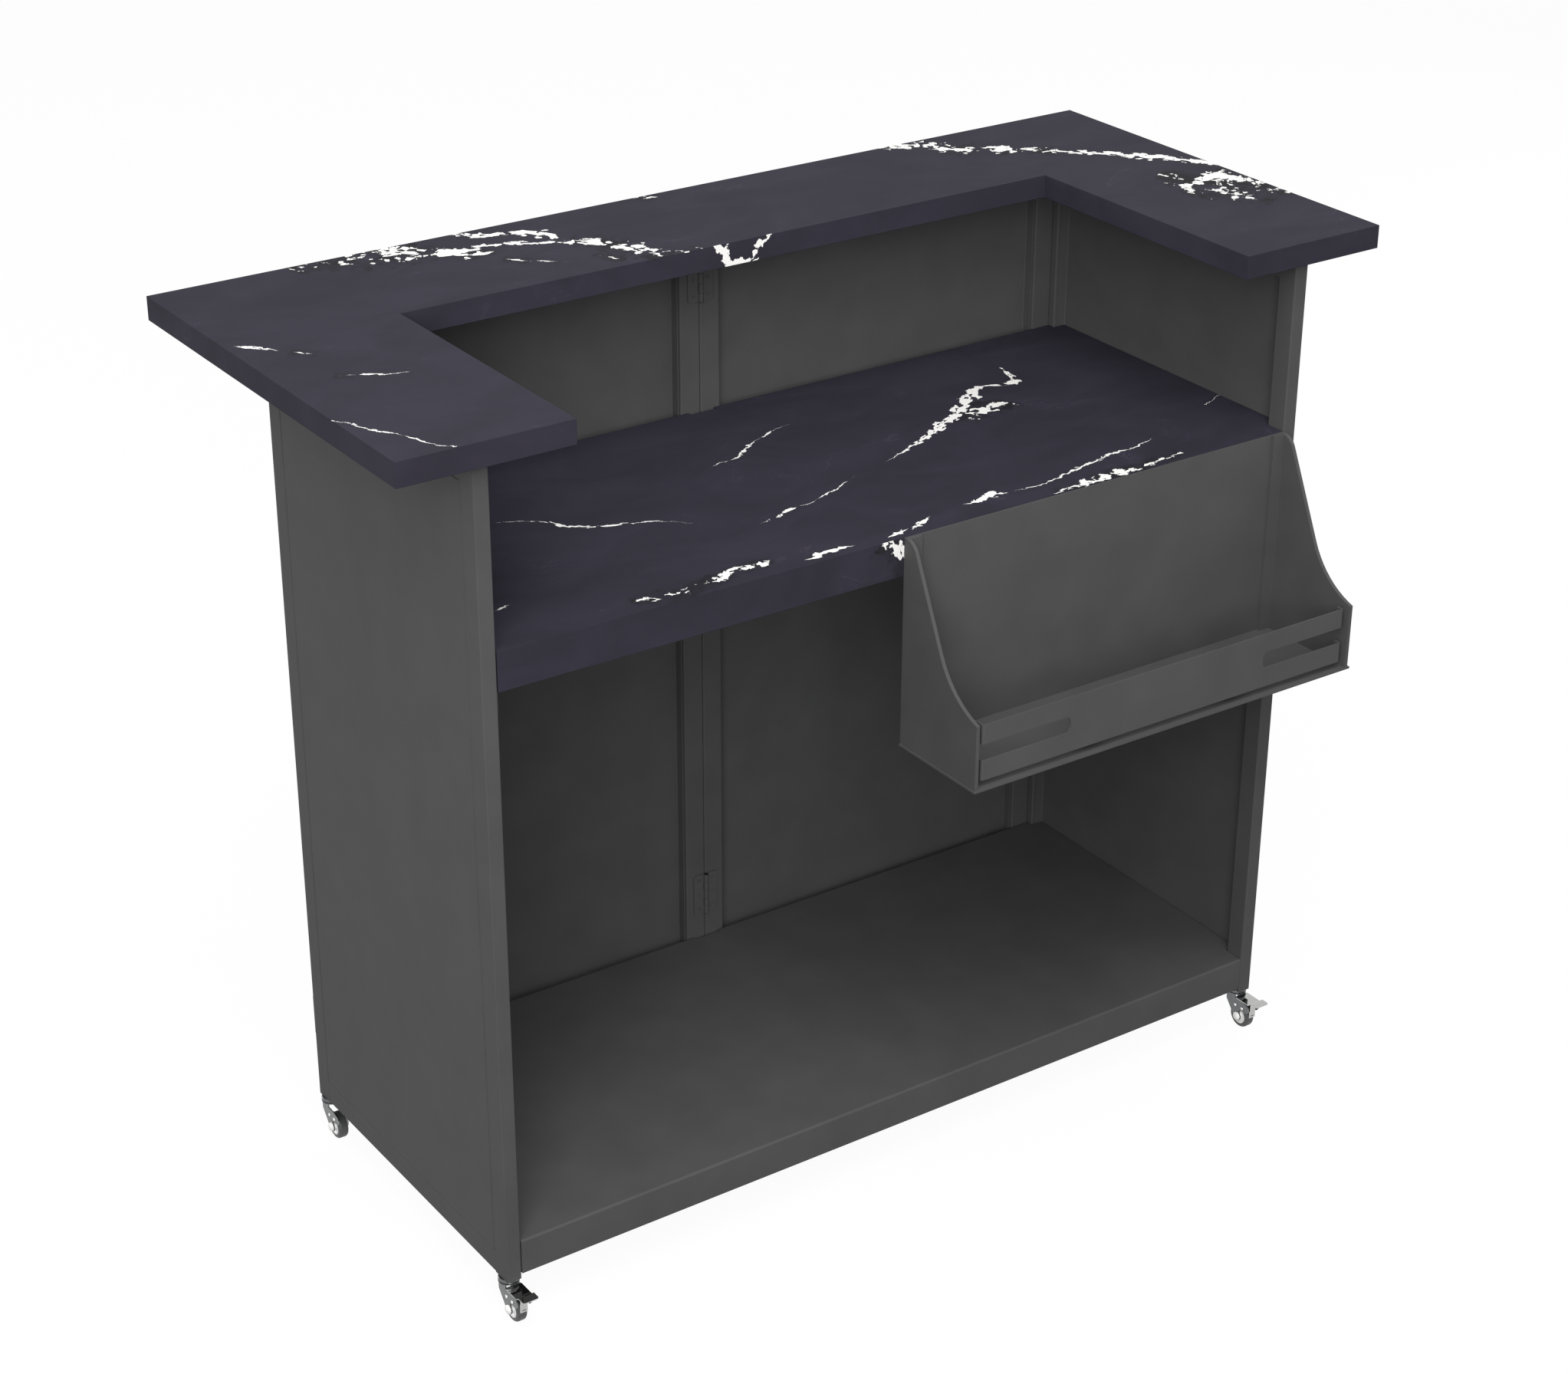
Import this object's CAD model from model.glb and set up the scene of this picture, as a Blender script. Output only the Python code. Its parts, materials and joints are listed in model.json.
import json
import math

import bpy
import numpy as np
from mathutils import Matrix, Vector


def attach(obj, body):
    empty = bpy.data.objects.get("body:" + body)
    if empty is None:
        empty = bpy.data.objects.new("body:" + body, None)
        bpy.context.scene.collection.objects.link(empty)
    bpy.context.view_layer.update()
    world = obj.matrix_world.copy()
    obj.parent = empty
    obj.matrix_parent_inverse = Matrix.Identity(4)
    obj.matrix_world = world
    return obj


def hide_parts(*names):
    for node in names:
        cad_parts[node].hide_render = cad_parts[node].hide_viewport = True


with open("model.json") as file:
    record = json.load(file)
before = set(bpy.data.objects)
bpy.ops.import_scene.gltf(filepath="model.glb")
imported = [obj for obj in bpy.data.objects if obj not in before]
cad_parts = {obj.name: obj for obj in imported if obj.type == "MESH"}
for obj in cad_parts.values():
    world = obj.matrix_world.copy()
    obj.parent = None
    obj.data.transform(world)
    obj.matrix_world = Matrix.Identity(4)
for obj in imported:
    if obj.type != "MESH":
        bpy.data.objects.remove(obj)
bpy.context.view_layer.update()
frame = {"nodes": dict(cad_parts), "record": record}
nodes = frame["nodes"]
slotOf = {part["node"]: part["material_slot"] for part in frame["record"]["subparts"]}
print("frame loaded:", len(nodes), "nodes")

mm = 0.001


def fromHex(code):
    # sRGB hex to linear: c / 12.92 below 0.04045, else ((c + 0.055) / 1.055) to the power 2.4
    c = np.array([int(code[i:i + 2], 16) for i in (1, 3, 5)]) / 255
    linear = np.where(c <= 0.04045, c / 12.92, ((c + 0.055) / 1.055) ** 2.4)
    return (*linear.tolist(), 1.0)


def link(tree, node, links):
    # feeds a node's sockets, each from an output, or from another node's first output
    for socket, source in links.items():
        output = source.outputs[0] if isinstance(source, bpy.types.Node) else source
        tree.links.new(output, node.inputs[socket])


def addNode(tree, kind, settings=None, links=None):
    # one shader node: settings are its properties or socket values, and links feed its sockets
    new = tree.nodes.new("ShaderNode" + kind)
    for key, value in (settings or {}).items():
        if isinstance(key, str) and hasattr(new, key):
            setattr(new, key, value)
        else:
            new.inputs[key].default_value = value
    link(tree, new, links or {})
    return new


def startMaterial(name, shader):
    # a material with its principled shader set, and the object's own coordinates in metres
    material = bpy.data.materials.new(name)
    material.use_nodes = True
    tree = material.node_tree
    tree.nodes.clear()
    surface = addNode(tree, "BsdfPrincipled", shader)
    addNode(tree, "OutputMaterial", links={"Surface": surface})
    place = addNode(tree, "TexCoord").outputs["Object"]
    return material, tree, surface, place


def cellsPer(sizeMm):
    # noise scale for a pattern of this size; the finest ones below are coarser than real, so that they show
    return 1 / (sizeMm * mm)


# polyester powder coat on steel, baked: flat dark grey with a fine pebble and a broad, barely seen mottle
powder = {"colour": "#545454", "deep": "#4e4e4e", "shine": 0.05, "rough": {"To Min": 0.5, "To Max": 0.62},
          "mottleMm": 70, "pebbleMm": 1.1, "pebbleShare": 0.35, "spread": {"From Min": 0.45, "From Max": 0.9},
          "bump": {"Strength": 0.12, "Distance": 0.1 * mm}, "edge": {"samples": 4, "Radius": 0.5 * mm}}
powderCoat, tree, surface, place = startMaterial("powderCoatSteel", {"Specular IOR Level": powder["shine"]})
mottle = addNode(tree, "TexNoise", {"Scale": cellsPer(powder["mottleMm"]), "Detail": 4.0}, {"Vector": place})
pebble = addNode(tree, "TexNoise", {"Scale": cellsPer(powder["pebbleMm"])}, {"Vector": place})
both = addNode(tree, "Math", {"operation": "MULTIPLY_ADD", 1: powder["pebbleShare"]}, {0: pebble, 2: mottle})
spread = addNode(tree, "MapRange", powder["spread"], {"Value": both})
tint = addNode(tree, "Mix", {"data_type": "RGBA", 6: fromHex(powder["deep"]), 7: fromHex(powder["colour"])},
               {0: spread})
rough = addNode(tree, "MapRange", powder["rough"], {"Value": mottle})
edge = addNode(tree, "Bevel", powder["edge"])
bump = addNode(tree, "Bump", powder["bump"], {"Height": pebble, "Normal": edge})
link(tree, surface, {"Base Color": tint.outputs[2], "Roughness": rough, "Normal": bump})

# high-pressure laminate, marble print under a satin melamine face: blue-black ground with drifting clouds,
# crisp white veins that break into flakes, and faint hairlines
laminate = {"ground": "#323039", "cloud": "#37353f", "stain": "#212220", "vein": "#f6f5f2", "hair": "#45424e",
            "shine": 0.015, "rough": 0.5, "cloudMm": 150, "drift": (1, 1.8, 1.8),
            "cloudSpan": {"From Min": 0.38, "From Max": 0.62}, "raggedMm": 45, "raggedBy": 10, "flakeMm": 24,
            "worn": {"From Min": 0.38, "From Max": 0.58, "To Min": -0.3, "To Max": 0.9}, "shardMm": 9,
            "shardShare": 0.6, "jolt": {"To Min": -0.7, "To Max": 0.7}, "bendMm": 200.0, "widthMm": 40.0,
            "crispMm": 0.7, "faceMm": 0.8, "stainMm": 16, "stainFrom": 0.75,
            "patch": {"From Min": 0.4, "From Max": 0.6, "To Max": 0.85}, "hairMm": 420, "hairAt": 0.52,
            "hairBy": 0.0022, "hairKeep": {"From Min": 0.52, "From Max": 0.62, "To Max": 0.5}, "grainMm": 0.9,
            "bump": {"Strength": 0.05, "Distance": 0.1 * mm}, "edge": {"samples": 4, "Radius": 0.8 * mm}}
# up is the axis that a face looks along, at its level in mm on that axis, and swell widens all its veins;
# runs hold three entries for each vein: points in mm on the face, half widths in mm there, how far it flakes
veinFaces = [
    {"face": "counter top", "up": 2, "at": 1161.5, "swell": 1.6, "runs": [
        [(-515, 374), (-488, 362), (-436, 361), (-403, 354), (-377, 346), (-351, 334), (-309, 311)],
        [4, 9, 17, 20, 18, 12, 4], 1.0,
        [(-292, 380), (-264, 350), (-228, 337), (-198, 324), (-187, 290)],
        [7, 6, 7, 10, 5], 0.5,
        [(-343, 316), (-311, 313), (-265, 313), (-219, 290), (-183, 270)], [4, 5, 5, 5, 6], 0.6,
        [(-184, 274), (-159, 254), (-148, 231), (-125, 204), (-119, 180), (-96, 155)],
        [7, 7, 9, 10, 9, 5], 0.8,
        [(-330, 322), (-309, 303), (-275, 288)], [0, 9, 0], 1.0,
        [(-282, 258), (-265, 240), (-221, 201)], [0, 1.6, 0], 1.0,
        [(-185, 212), (-171, 193), (-160, 172)], [0, 2, 0], 1.0,
        [(-92, 168), (-84, 157), (-64, 164), (-58, 150)], [2, 3, 4, 2], 0.8,
        [(-40, 380), (-20, 374), (5, 362)], [0, 5, 0], 0.8,
        [(-690, 167), (-671, 149), (-650, 119)], [0, 2, 0], 0.2,
        [(-643, 112), (-634, 101), (-622, 88)], [0, 1, 0], 0.9,
        [(-636, 16), (-611, 3), (-590, -10), (-560, -22)], [0, 1.6, 1.4, 0], 0.8,
        [(-703, -97), (-689, -117), (-681, -141), (-662, -173), (-644, -216), (-625, -241)],
        [1, 1.6, 1.2, 1.4, 1.4, 1], 0.6,
        [(367, 376), (395, 371), (417, 358), (440, 338), (455, 318)], [6, 9, 10, 12, 7], 0.7,
        [(430, 332), (455, 314), (481, 299), (503, 282), (524, 267), (560, 232)], [3, 8, 9, 9, 7, 5], 0.8,
        [(560, 232), (590, 205), (633, 164)], [5, 5, 6], 0.4,
        [(633, 164), (653, 139), (675, 113), (702, 66)], [6, 7, 6, 3], 0.3,
        [(608, 76), (628, 40), (660, 22), (683, -10), (690, -50), (705, -82)], [4, 12, 18, 15, 9, 3], 1.0,
        [(590, 45), (603, 4), (625, -30), (655, -95)], [3, 9, 11, 5], 1.0,
        [(660, 38), (676, 28), (686, 0)], [3, 12, 4], 0.5,
    ]},
    {"face": "worktop", "up": 2, "at": 903, "swell": 1.25, "runs": [
        [(-530, -129), (-516, -127), (-502, -125)], [0, 1.5, 0], 0.2,
        [(-386, -198), (-369, -199), (-350, -205), (-322, -203), (-297, -201), (-266, -197), (-240, -189),
         (-213, -191), (-190, -188)], [0, 5, 6, 7, 4, 8, 5, 5, 0], 0.8,
        [(-160, -210), (-123, -206), (-85, -211)], [0, 5, 0], 0.3,
        [(-45, -214), (-10, -207), (12, -202), (40, -188)], [0, 4, 5, 0], 0.7,
        [(-150, -98), (-111, -86), (-72, -77), (-54, -74), (-2, -55), (45, -34)], [0, 2, 2.2, 1, 1.6, 0], 0.7,
        [(90, -22), (161, 4), (195, 21), (243, 46), (285, 70), (317, 94), (352, 120)],
        [0, 3, 5, 7, 6, 9, 6], 0.35,
        [(250, 40), (299, 50), (326, 55), (360, 40)], [0, 13, 11, 3], 0.75,
        [(352, 120), (400, 106), (414, 128), (420, 160)], [4, 5, 6, 2], 0.7,
        [(-100, 82), (-81, 90), (-53, 93), (-17, 118), (17, 134), (44, 146), (85, 154)],
        [0, 1, 1.4, 3, 1.8, 1.5, 0], 0.6,
        [(92, -186), (126, -181), (144, -176), (165, -185)], [0, 5, 8, 0], 0.6,
        [(165, -183), (209, -186), (266, -175), (311, -168), (348, -160), (374, -160), (445, -142)],
        [0, 2, 2.4, 2, 2, 1.6, 0], 0.5,
        [(206, -222), (238, -215), (277, -213), (299, -212), (333, -214), (368, -212), (425, -206)],
        [1, 4, 7, 8, 6, 4, 3], 0.75,
        [(560, -96), (600, -80)], [1, 0.5], 0.3,
        [(-420, 90), (-360, 60), (-330, 20), (-240, -20), (-200, -60)], [0, 2, 3, 1.5, 0], 0.6,
    ]},
    {"face": "counter inner edge", "up": 1, "at": 156, "swell": 2.0, "runs": [
        [(-40, 1164), (-31, 1152), (-22, 1136), (-12, 1131)], [4, 4, 3.5, 2], 0.45,
        [(-16, 1133), (0, 1130), (12, 1134)], [2, 3.5, 2], 0.3,
        [(8, 1131), (18, 1138), (27, 1149), (40, 1164)], [2, 4, 4, 5], 0.45,
    ]},
    {"face": "worktop front edge", "up": 1, "at": -224, "swell": 1.2, "runs": [
        [(-52, 905), (-36, 893), (-24, 872), (-14, 850)], [9, 9, 7, 3], 0.85,
    ]},
]


def veinRun(tree, ground, face, points, widths, flake, flaking, jolt):
    # one vein: across its chord, white where |offset - bend(t)| is less than width(t) thinned by the flakes,
    # knocked aside shard by shard, and stained where it is less than width(t) and a margin
    up, level = face["up"], face["at"]
    points = np.array(points, float)
    chord = points[-1] - points[0]
    span = float(np.hypot(*chord))
    along = (points - points[0]) @ chord / span ** 2
    aside = (points - points[0]) @ np.array([-chord[1], chord[0]]) / span
    turn = math.atan2(chord[1], chord[0])
    start = [points[0][0], points[0][1], level] if up == 2 else [points[0][0], level, points[0][1]]
    local = addNode(tree, "Mapping", {
        "vector_type": "TEXTURE", "Location": [v * mm for v in start],
        "Rotation": (0, 0, turn) if up == 2 else (math.pi / 2, -turn, 0),
        "Scale": (span * mm, 1, 1)}, {"Vector": ground})
    axes = addNode(tree, "SeparateXYZ", links={0: local}).outputs
    lines = []
    for heights, unit, middle in ((aside, laminate["bendMm"], 0.5),
                                  (face["swell"] * np.array(widths, float), laminate["widthMm"], 0.0)):
        curve = addNode(tree, "FloatCurve", links={"Value": axes[0]})
        line = curve.mapping.curves[0]
        while len(line.points) < len(heights):
            line.points.new(0.5, 0.5)
        for dot, t, h in zip(line.points, along, heights / unit + middle):
            dot.location = (float(t), float(h))
            dot.handle_type = "AUTO_CLAMPED"
        curve.mapping.extend = "HORIZONTAL"
        curve.mapping.update()
        scaled = {"operation": "MULTIPLY_ADD", 1: unit * mm, 2: -middle * unit * mm}
        lines.append(addNode(tree, "Math", scaled, {0: curve}))
    bend, width = lines
    offset = addNode(tree, "Math", {"operation": "SUBTRACT"}, {0: axes[1], 1: bend})
    knocked = addNode(tree, "Math", {"operation": "MULTIPLY_ADD"}, {0: width, 1: jolt, 2: offset})
    away = addNode(tree, "Math", {"operation": "ABSOLUTE"}, {0: knocked})
    thin = addNode(tree, "Math", {"operation": "MULTIPLY_ADD", 1: -flake, 2: 1.0}, {0: flaking})
    thinned = addNode(tree, "Math", {"operation": "MULTIPLY"}, {0: width, 1: thin})
    inside = addNode(tree, "Math", {"operation": "SUBTRACT"}, {0: thinned, 1: away})
    within = addNode(tree, "Math", {"operation": "COMPARE", 1: 0.5, 2: 0.5}, {0: axes[0]})
    crisp = addNode(tree, "MapRange", {"interpolation_type": "SMOOTHSTEP",
                                       "From Max": laminate["crispMm"] * mm}, {"Value": inside})
    white = addNode(tree, "Math", {"operation": "MULTIPLY"}, {0: crisp, 1: within})
    if flake < laminate["stainFrom"]:
        return white, None
    margin = addNode(tree, "Math", {"operation": "SUBTRACT"}, {0: width, 1: away})
    halo = addNode(tree, "MapRange", {"interpolation_type": "SMOOTHSTEP", "To Max": flake, "From Max": 0.0,
                                      "From Min": -laminate["stainMm"] * mm}, {"Value": margin})
    return white, addNode(tree, "Math", {"operation": "MULTIPLY"}, {0: halo, 1: within})


def highest(tree, values):
    # the largest of several values
    top = values[0]
    for value in values[1:]:
        top = addNode(tree, "Math", {"operation": "MAXIMUM"}, {0: top, 1: value})
    return top


marbleLaminate, tree, surface, place = startMaterial(
    "marbleLaminate", {"Specular IOR Level": laminate["shine"], "Roughness": laminate["rough"]})
drift = addNode(tree, "Mapping", {"Scale": laminate["drift"]}, {"Vector": place})
cloud = addNode(tree, "TexNoise", {"Scale": cellsPer(laminate["cloudMm"]), "Detail": 5.0, "Roughness": 0.6,
                                   "Distortion": 0.6}, {"Vector": drift})
ragged = addNode(tree, "TexNoise", {"Scale": cellsPer(laminate["raggedMm"]), "Detail": 5.0,
                                    "Roughness": 0.72}, {"Vector": place})
flakes = addNode(tree, "TexNoise", {"Scale": cellsPer(laminate["flakeMm"]), "Detail": 4.0, "Roughness": 0.65},
                 {"Vector": place})
worn = addNode(tree, "MapRange", laminate["worn"], {"Value": flakes})
shards = addNode(tree, "TexVoronoi", {"Scale": cellsPer(laminate["shardMm"])}, {"Vector": place})
chance = addNode(tree, "SeparateXYZ", links={0: shards.outputs["Color"]}).outputs
flaking = addNode(tree, "Math", {"operation": "MULTIPLY_ADD", 1: laminate["shardShare"]},
                  {0: chance[0], 2: worn})
jolt = addNode(tree, "MapRange", laminate["jolt"], {"Value": chance[1]})
axes = addNode(tree, "SeparateXYZ", links={0: place}).outputs
centred = addNode(tree, "VectorMath", {"operation": "SUBTRACT", 1: (0.5, 0.5, 0.5)},
                  {0: ragged.outputs["Color"]})
reach = 2 * laminate["raggedBy"] * mm
whites, stains = [], []
for face in veinFaces:
    # the face's own two axes are made ragged, and its level is left alone
    keep = (reach, reach, 0) if face["up"] == 2 else (reach, 0, reach)
    ground = addNode(tree, "VectorMath", {"operation": "MULTIPLY_ADD", 1: keep}, {0: centred, 2: place})
    runs = [veinRun(tree, ground, face, *face["runs"][i:i + 3], flaking, jolt)
            for i in range(0, len(face["runs"]), 3)]
    onFace = addNode(tree, "Math", {"operation": "COMPARE", 1: face["at"] * mm, 2: laminate["faceMm"] * mm},
                     {0: axes[face["up"]]})
    for found, kept in (([run[0] for run in runs], whites), ([run[1] for run in runs if run[1]], stains)):
        if found:
            kept.append(addNode(tree, "Math", {"operation": "MULTIPLY"},
                                {0: highest(tree, found), 1: onFace}))
patchy = addNode(tree, "MapRange", laminate["patch"], {"Value": ragged})
stained = addNode(tree, "Math", {"operation": "MULTIPLY"}, {0: highest(tree, stains), 1: patchy})
hair = addNode(tree, "TexNoise", {"Scale": cellsPer(laminate["hairMm"]), "Detail": 6.0, "Roughness": 0.55,
                                  "Distortion": 1.4}, {"Vector": place})
ridge = addNode(tree, "Math", {"operation": "COMPARE", 1: laminate["hairAt"], 2: laminate["hairBy"]},
                {0: hair})
hairKeep = addNode(tree, "MapRange", laminate["hairKeep"], {"Value": cloud})
hairline = addNode(tree, "Math", {"operation": "MULTIPLY"}, {0: ridge, 1: hairKeep})
cloudy = addNode(tree, "MapRange", laminate["cloudSpan"], {"Value": cloud})
colour = addNode(tree, "Mix", {"data_type": "RGBA", 6: fromHex(laminate["ground"]),
                               7: fromHex(laminate["cloud"])}, {0: cloudy})
for share, layer in ((hairline, "hair"), (stained, "stain"), (highest(tree, whites), "vein")):
    colour = addNode(tree, "Mix", {"data_type": "RGBA", 7: fromHex(laminate[layer])},
                     {0: share, 6: colour.outputs[2]})
grain = addNode(tree, "TexNoise", {"Scale": cellsPer(laminate["grainMm"]), "Detail": 1.0}, {"Vector": place})
edge = addNode(tree, "Bevel", laminate["edge"])
bump = addNode(tree, "Bump", laminate["bump"], {"Height": grain, "Normal": edge})
link(tree, surface, {"Base Color": colour.outputs[2], "Normal": bump})

# zinc plate on pressed steel: grey metal with fine drawn lines down the pressing
zinc = {"bright": "#757677", "dull": "#606162", "rough": {"To Min": 0.16, "To Max": 0.3}, "drawnMm": 0.5,
        "drawn": (1, 1, 0.06), "patchMm": 9, "bump": {"Strength": 0.08, "Distance": 0.05 * mm}}
zincPlate, tree, surface, place = startMaterial("zincPlate", {"Metallic": 1.0})
drawn = addNode(tree, "Mapping", {"Scale": zinc["drawn"]}, {"Vector": place})
lines = addNode(tree, "TexNoise", {"Scale": cellsPer(zinc["drawnMm"])}, {"Vector": drawn})
patch = addNode(tree, "TexNoise", {"Scale": cellsPer(zinc["patchMm"]), "Detail": 3.0}, {"Vector": place})
tint = addNode(tree, "Mix", {"data_type": "RGBA", 6: fromHex(zinc["dull"]), 7: fromHex(zinc["bright"])},
               {0: patch})
rough = addNode(tree, "MapRange", zinc["rough"], {"Value": lines})
bump = addNode(tree, "Bump", zinc["bump"], {"Height": lines})
link(tree, surface, {"Base Color": tint.outputs[2], "Roughness": rough, "Normal": bump})

# nickel plate on the pedals: brighter and smoother than the zinc, with the same faint rolling lines
nickel = {"bright": "#c2c2c1", "dull": "#a8a8a7", "rough": {"To Min": 0.04, "To Max": 0.1}, "rolledMm": 0.6,
          "rolled": (1, 0.05, 1)}
nickelPlate, tree, surface, place = startMaterial("nickelPlate", {"Metallic": 1.0})
rolled = addNode(tree, "Mapping", {"Scale": nickel["rolled"]}, {"Vector": place})
lines = addNode(tree, "TexNoise", {"Scale": cellsPer(nickel["rolledMm"])}, {"Vector": rolled})
tint = addNode(tree, "Mix", {"data_type": "RGBA", 6: fromHex(nickel["dull"]), 7: fromHex(nickel["bright"])},
               {0: lines})
rough = addNode(tree, "MapRange", nickel["rough"], {"Value": lines})
link(tree, surface, {"Base Color": tint.outputs[2], "Roughness": rough})

# moulded nylon 6: white, waxy, with a very slight flow mottle
nylon = {"white": "#ffffff", "shade": "#f7f7f5", "shader": {"Roughness": 0.32, "IOR": 1.53}, "flowMm": 5}
whiteNylon, tree, surface, place = startMaterial("whiteNylon", nylon["shader"])
flow = addNode(tree, "TexNoise", {"Scale": cellsPer(nylon["flowMm"])}, {"Vector": place})
tint = addNode(tree, "Mix", {"data_type": "RGBA", 6: fromHex(nylon["shade"]), 7: fromHex(nylon["white"])},
               {0: flow})
link(tree, surface, {"Base Color": tint.outputs[2]})

# polished aluminium rivets: nearly white, with a soft sheen and a few planished spots
alloy = {"bright": "#fcfcfb", "dull": "#ececeb", "rough": {"To Min": 0.3, "To Max": 0.45}, "peenMm": 1.2}
polishedAlloy, tree, surface, place = startMaterial("polishedAluminium", {"Metallic": 1.0})
peen = addNode(tree, "TexNoise", {"Scale": cellsPer(alloy["peenMm"])}, {"Vector": place})
tint = addNode(tree, "Mix", {"data_type": "RGBA", 6: fromHex(alloy["dull"]), 7: fromHex(alloy["bright"])},
               {0: peen})
rough = addNode(tree, "MapRange", alloy["rough"], {"Value": peen})
link(tree, surface, {"Base Color": tint.outputs[2], "Roughness": rough})

# thermoplastic rubber tread: dark grey, soft sheen, fine mould grain and a little floor dust
tread = {"dark": "#3f4042", "dusty": "#4b4b4b", "shine": 0.5, "rough": {"To Min": 0.38, "To Max": 0.55},
         "dustMm": 7, "grainMm": 0.5, "bump": {"Strength": 0.1, "Distance": 0.05 * mm}}
treadRubber, tree, surface, place = startMaterial("treadRubber", {"Specular IOR Level": tread["shine"]})
dust = addNode(tree, "TexNoise", {"Scale": cellsPer(tread["dustMm"]), "Detail": 4.0}, {"Vector": place})
tint = addNode(tree, "Mix", {"data_type": "RGBA", 6: fromHex(tread["dark"]), 7: fromHex(tread["dusty"])},
               {0: dust})
rough = addNode(tree, "MapRange", tread["rough"], {"Value": dust})
grain = addNode(tree, "TexNoise", {"Scale": cellsPer(tread["grainMm"])}, {"Vector": place})
bump = addNode(tree, "Bump", tread["bump"], {"Height": grain})
link(tree, surface, {"Base Color": tint.outputs[2], "Roughness": rough, "Normal": bump})

# glass-filled nylon plugs in the post feet: black, matt and speckled
plug = {"black": "#1d1d1e", "fleck": "#2a2a2b", "rough": 0.6, "fleckMm": 0.8}
blackPlug, tree, surface, place = startMaterial("glassFilledNylon", {"Roughness": plug["rough"]})
fleck = addNode(tree, "TexNoise", {"Scale": cellsPer(plug["fleckMm"])}, {"Vector": place})
tint = addNode(tree, "Mix", {"data_type": "RGBA", 6: fromHex(plug["black"]), 7: fromHex(plug["fleck"])},
               {0: fleck})
link(tree, surface, {"Base Color": tint.outputs[2]})

finishes = {"frame_paint": powderCoat, "laminate": marbleLaminate, "caster_steel": zincPlate,
            "pedal_steel": nickelPlate, "caster_nylon": whiteNylon, "tyre_rubber": treadRubber,
            "fastener_steel": zincPlate, "insert_plastic": blackPlug}
for name, piece in nodes.items():
    piece.data.materials.clear()
    piece.data.materials.append(finishes[slotOf[name]])
print("finishes on", len(nodes), "nodes")


def ringFaces(copies, rows, turns):
    # quads between neighbouring rows of closed rings, with the first and last ring capped, for several copies
    faces = []
    ring = np.arange(turns)
    for start in np.arange(copies) * rows * turns:
        low = start + (np.arange(rows - 1) * turns)[:, None] + ring
        onward = low + np.roll(ring, -1) - ring
        faces += np.stack([low, onward, onward + turns, low + turns], 2).reshape(-1, 4).tolist()
        faces += [(start + ring[::-1]).tolist(), (start + (rows - 1) * turns + ring).tolist()]
    return faces


def addPiece(name, shells, body, finish, smooth):
    # a mesh object at the origin, riding on a body: each shell is x, y and z in mm on rows of closed rings
    points = np.array([np.stack(np.broadcast_arrays(*shell), 2) for shell in shells])
    mesh = bpy.data.meshes.new(name)
    mesh.from_pydata((points.reshape(-1, 3) * mm).tolist(), [], ringFaces(*points.shape[:3]))
    mesh.polygons.foreach_set("use_smooth", np.full(len(mesh.polygons), smooth))
    mesh.materials.append(finish)
    piece = bpy.data.objects.new(name, mesh)
    bpy.context.scene.collection.objects.link(piece)
    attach(piece, body)
    return piece


# dressed weld where a rail meets a post: the rail's own section carried on over the post's rounded corner
weld = {"deep": 20.0, "high": 30.0, "corner": 2.0, "run": 2.0, "turns": 48, "lowZ": 71.5, "highZ": 1116.5,
        "sideX": 590.0, "sideEnds": (-194.0, 246.0), "backY": 266.0, "backEnds": (30.3, 549.4)}
turn = (np.arange(weld["turns"]) + 0.5) * 2 * math.pi / weld["turns"]
arc = np.stack([np.cos(turn), np.sin(turn)])
flat = np.array([[weld["deep"]], [weld["high"]]]) / 2 - weld["corner"]
across, upright = np.sign(arc) * flat + weld["corner"] * arc
run = np.array([[0.0], [1.0]]) * weld["run"]
collars = []
for railZ in (weld["lowZ"], weld["highZ"]):
    for side in (-1, 1):
        # a side rail's run goes along y and a back rail's along x, each from the rail's end into its post
        for end, way in zip(weld["sideEnds"], (-1, 1)):
            collars.append((side * weld["sideX"] - way * across, end + run * way, railZ + upright))
        for end, way in zip(weld["backEnds"], (-1, 1)):
            collars.append((side * (end + run * way), weld["backY"] + side * way * across, railZ + upright))
addPiece("dressedWelds", collars, "frame", powderCoat, False)

# returns at the ends of the base shelf's skirt, which close the view past the posts
fold = {"end": 578.9, "sheet": 1.5, "front": -222.6, "rear": -202.0, "low": 63.1, "top": 109.6}
ringY = np.array([fold["front"], fold["rear"], fold["rear"], fold["front"]])
ringZ = np.array([fold["low"], fold["low"], fold["top"], fold["top"]])
thick = np.array([[-0.5], [0.5]]) * fold["sheet"]
# the side view (y, z) is carried along x through the sheet's thickness
returns = [(side * (fold["end"] - fold["sheet"] / 2) + thick, ringY, ringZ) for side in (-1, 1)]
addPiece("skirtReturns", returns, "shelf", powderCoat, False)

# rivet heads on the fork sides: a low dome on a short wall, dimpled in the middle
rivet = {"r": 2.15, "wall": 0.9, "dome": 0.55, "dimple": 0.35, "dimpleR": 0.55, "turns": 32, "rows": 14,
         "rim": 0.96, "eye": 0.02, "side": 9.95, "rise": 35.0, "fore": (11.0, 24.5), "casterX": 590.0,
         "casterY": {"front": -209.0, "rear": 261.0}}
share = np.concatenate([[1.0, 1.0], np.linspace(rivet["rim"], rivet["eye"], rivet["rows"])])[:, None]
radius = rivet["r"] * share
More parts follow.
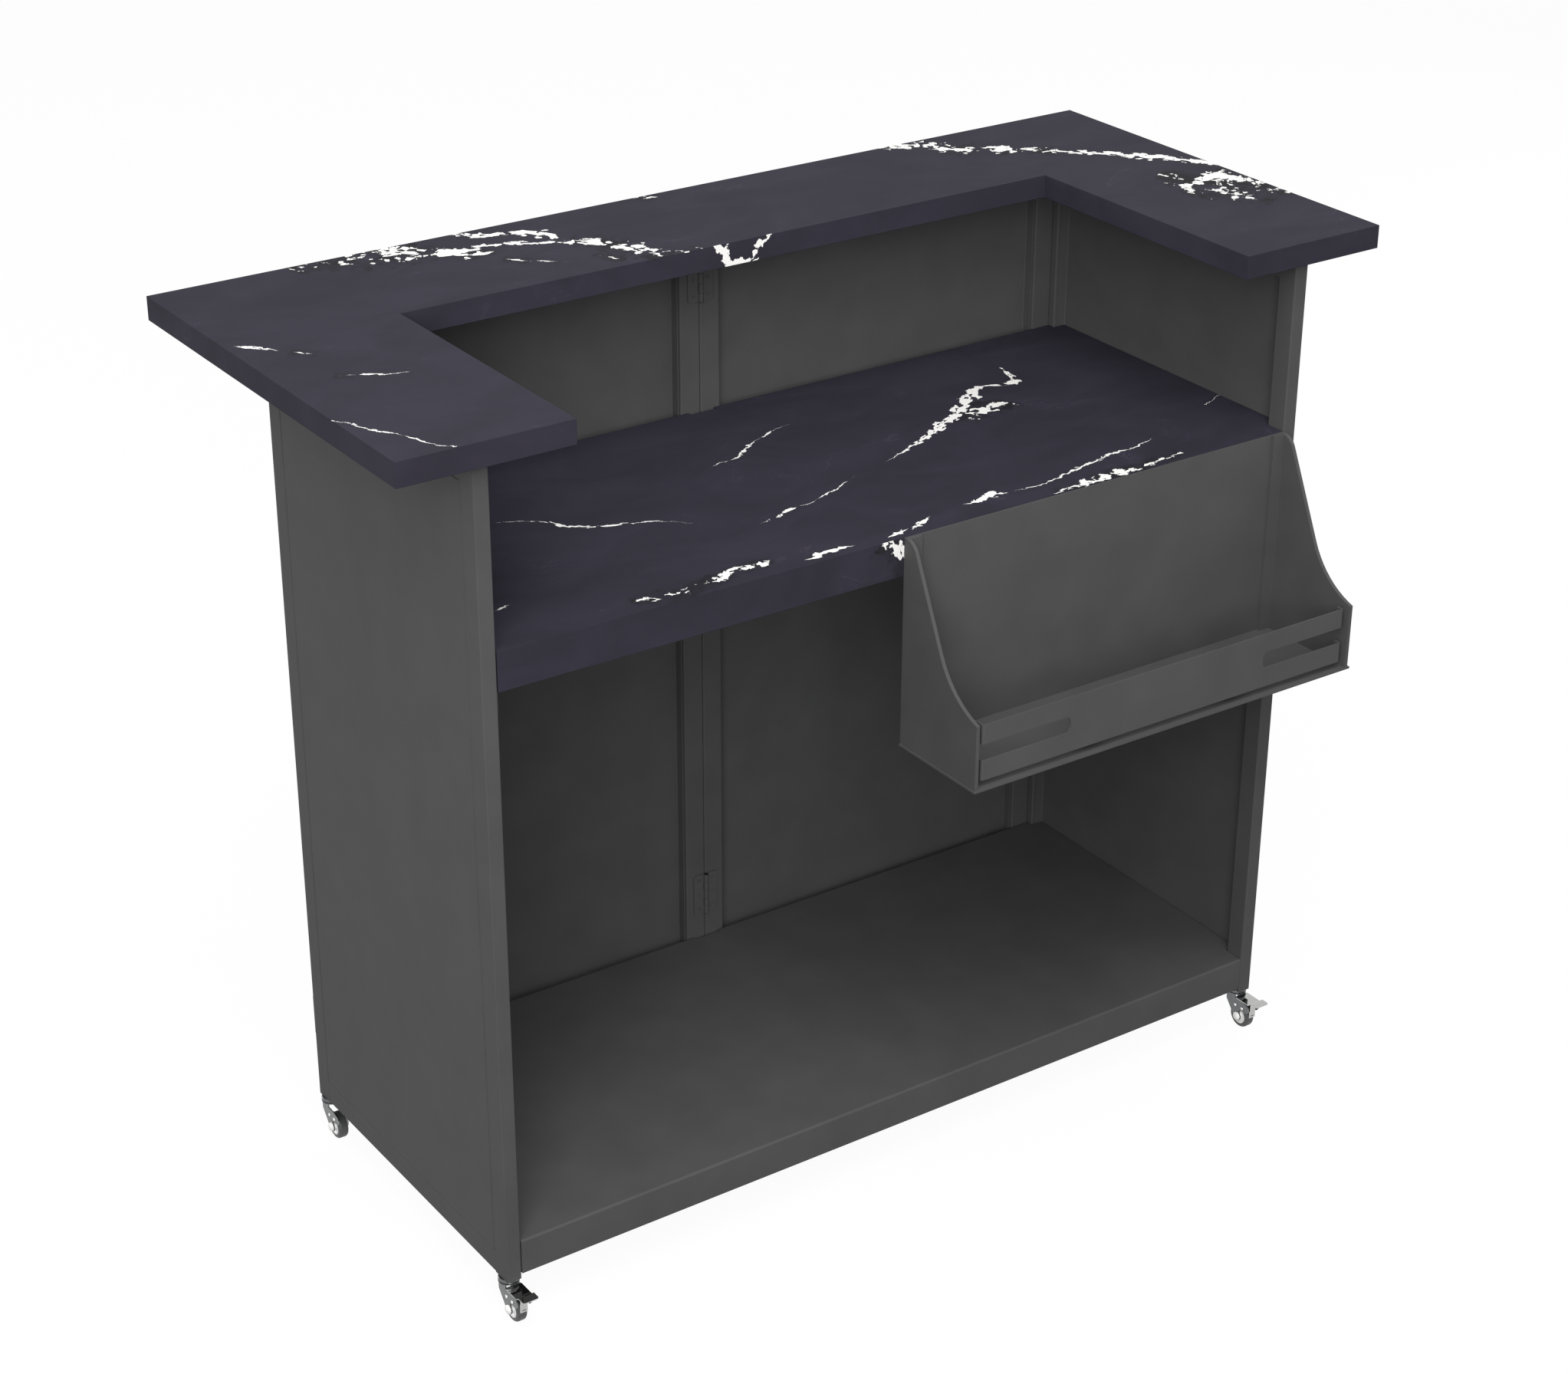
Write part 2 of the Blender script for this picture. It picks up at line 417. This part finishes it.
# height on the radius: wall + dome (1 - share squared) - dimple exp(-(radius / dimpleR) squared)
dimple = rivet["dimple"] * np.exp(-(radius / rivet["dimpleR"]) ** 2)
height = rivet["wall"] + rivet["dome"] * (1 - share ** 2) - dimple
height[0] = 0.0
turn = np.arange(rivet["turns"]) * 2 * math.pi / rivet["turns"]
for endName, casterY in rivet["casterY"].items():
    for sideName, side in (("left", -1), ("right", 1)):
        heads = []
        for out in (-1, 1):
            for fore in rivet["fore"]:
                # x = out * (side + height), y and z on the ring of that radius
                heads.append((side * rivet["casterX"] + out * (rivet["side"] + height),
                              casterY - fore + radius * np.cos(turn) * out,
                              rivet["rise"] + radius * np.sin(turn)))
        addPiece(f"{endName}_{sideName}_rivet_heads", heads, f"{endName}_{sideName}_fork",
                 polishedAlloy, True)

# countersunk screws with a cross recess, in the hinge leaves and the ledges
screw = {"headR": 3.25, "shankR": 1.75, "cone": 1.5, "length": 10, "point": 1.0, "pointR": 0.02, "eye": 0.01,
         "recess": 1.1, "bladeW": 0.42, "bladeL": 1.9, "slopeW": 0.3, "slopeL": 0.6, "turns": 48, "rows": 16,
         "leafX": 11.0, "pitch": 22.5, "hinges": (176.5, 1083.5), "innerY": 254.0, "outerY": 278.0,
         "cornerX": 579.7, "ledgeX": 578.0, "ledgeY": (-209.0, 251.0), "ledgeZ": 838.0}
inR = np.concatenate([screw["headR"] * np.linspace(1.0, screw["eye"], screw["rows"])[::-1],
                      [screw["shankR"], screw["shankR"], screw["pointR"]]])
inD = np.concatenate([np.zeros(screw["rows"]),
                      [screw["cone"], screw["length"] - screw["point"], screw["length"]]])
turn = np.arange(screw["turns"]) * 2 * math.pi / screw["turns"]
u, v = inR[:, None] * np.cos(turn), inR[:, None] * np.sin(turn)
# depth of the recess: full inside two crossed blades, run out over a short slope
blade = np.clip((screw["bladeW"] - np.minimum(np.abs(u), np.abs(v))) / screw["slopeW"] + 0.5, 0, 1)
tip = np.clip((screw["bladeL"] - np.hypot(u, v)) / screw["slopeL"], 0, 1)
depth = inD[:, None] + screw["recess"] * blade * tip * (inD[:, None] == 0)
spots = []
for hingeZ in screw["hinges"]:
    for row in (-1, 0, 1):
        z = hingeZ + row * screw["pitch"]
        for leaf in (-1, 1):
            spots.append((leaf * screw["leafX"], screw["innerY"], z, 0, 1))
            for side in (-1, 1):
                spots.append((side * screw["cornerX"] + leaf * screw["leafX"], screw["outerY"], z, 0, -1))
for side in (-1, 1):
    for ledgeY in screw["ledgeY"]:
        spots.append((side * screw["ledgeX"], ledgeY, screw["ledgeZ"], side, 0))
# each head faces away from (inX, inY), which its shank follows
screws = [(x + inX * depth - inY * u, y + inY * depth + inX * u, z + v) for x, y, z, inX, inY in spots]
crossScrews = addPiece("crossScrews", screws, "frame", powderCoat, False)
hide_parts("frame_screws")
print("made", len(collars), "welds and", len(screws), "screws")


def seenRays(tree):
    # 1 on rays from the camera, off a mirror or through glass, and 0 on light that falls on the object
    rays = addNode(tree, "LightPath").outputs
    direct = addNode(tree, "Math", {"operation": "ADD"}, {0: rays["Is Camera Ray"], 1: rays["Is Glossy Ray"]})
    return addNode(tree, "Math", {"operation": "ADD", "use_clamp": True},
                   {0: direct, 1: rays["Is Transmission Ray"]})


# paper sweep: the camera and mirrors see it white, and nearly self-lit over a faint shadow,
# and the object is lit by a grey one
stage = {"reach": 14.0, "paper": "#ffffff", "bounce": "#707070", "selfLit": 0.95}
paper = bpy.data.materials.new("whitePaper")
paper.use_nodes = True
tree = paper.node_tree
tree.nodes.clear()
seen = seenRays(tree)
share = addNode(tree, "Math", {"operation": "MULTIPLY", 1: stage["selfLit"]}, {0: seen})
tone = addNode(tree, "Mix", {"data_type": "RGBA", 6: fromHex(stage["bounce"]), 7: fromHex(stage["paper"])},
               {0: seen})
matt = addNode(tree, "BsdfDiffuse", links={"Color": tone.outputs[2]})
glow = addNode(tree, "Emission", {"Color": (1, 1, 1, 1), "Strength": 1.0})
mixed = addNode(tree, "MixShader", links={0: share, 1: matt, 2: glow})
addNode(tree, "OutputMaterial", links={"Surface": mixed})
half = stage["reach"] / 2
corners = [(-half, -half, 0), (half, -half, 0), (half, half, 0), (-half, half, 0)]
sweep = bpy.data.meshes.new("paperSweep")
sweep.from_pydata(corners, [], [(0, 1, 2, 3)])
sweep.materials.append(paper)
floor = bpy.data.objects.new("paperSweep", sweep)
bpy.context.scene.collection.objects.link(floor)

# soft studio light: an even white room, broad lamps overhead and by the camera, weaker ones round the back
light = {"room": 0.46, "lamps": [
    {"name": "overheadLamp", "watts": 144.0, "size": 3.0, "place": (-1.1, -2.0, 4.9), "aim": (0, 0, 0.9)},
    {"name": "cameraSideLamp", "watts": 188.0, "size": 3.0, "place": (-3.2, -4.1, 3.0), "aim": (0, 0, 0.6)},
    {"name": "rearLamp", "watts": 56.0, "size": 2.0, "place": (-2.6, 4.6, 1.5), "aim": (0, 0, 0.6)},
    {"name": "rightLamp", "watts": 75.0, "size": 2.0, "place": (5.0, 0.6, 1.5), "aim": (0, 0, 0.6)},
]}
world = bpy.data.worlds.new("whiteRoom")
bpy.context.scene.world = world
world.use_nodes = True
tree = world.node_tree
tree.nodes.clear()
level = addNode(tree, "MapRange", {"To Min": light["room"], "To Max": 1.0}, {"Value": seenRays(tree)})
room = addNode(tree, "Background", {"Color": (1, 1, 1, 1)}, {"Strength": level})
addNode(tree, "OutputWorld", links={"Surface": room})
for spec in light["lamps"]:
    lampData = bpy.data.lights.new(spec["name"], "AREA")
    lampData.energy = spec["watts"]
    lampData.size = spec["size"]
    lamp = bpy.data.objects.new(spec["name"], lampData)
    lamp.location = spec["place"]
    aim = Vector(spec["aim"]) - Vector(spec["place"])
    lamp.rotation_euler = aim.to_track_quat("-Z", "Y").to_euler()
    bpy.context.scene.collection.objects.link(lamp)

# the photograph's camera: turned left of the front, looking down, with a slight roll
view = {"place": (-2.07304, -2.95216, 2.40887), "turn": -34.52, "tilt": 63.435, "roll": 0.227, "lens": 72.07,
        "sensor": 36.0}
cameraData = bpy.data.cameras.new("photoCamera")
cameraData.sensor_fit = "HORIZONTAL"
cameraData.sensor_width = view["sensor"]
cameraData.lens = view["lens"]
camera = bpy.data.objects.new("photoCamera", cameraData)
camera.matrix_world = (Matrix.Translation(view["place"])
                       @ Matrix.Rotation(math.radians(view["turn"]), 4, "Z")
                       @ Matrix.Rotation(math.radians(view["tilt"]), 4, "X")
                       @ Matrix.Rotation(math.radians(view["roll"]), 4, "Z"))
bpy.context.scene.collection.objects.link(camera)
bpy.context.scene.camera = camera
bpy.context.scene.view_settings.view_transform = "Standard"
print("stage, light and camera set")
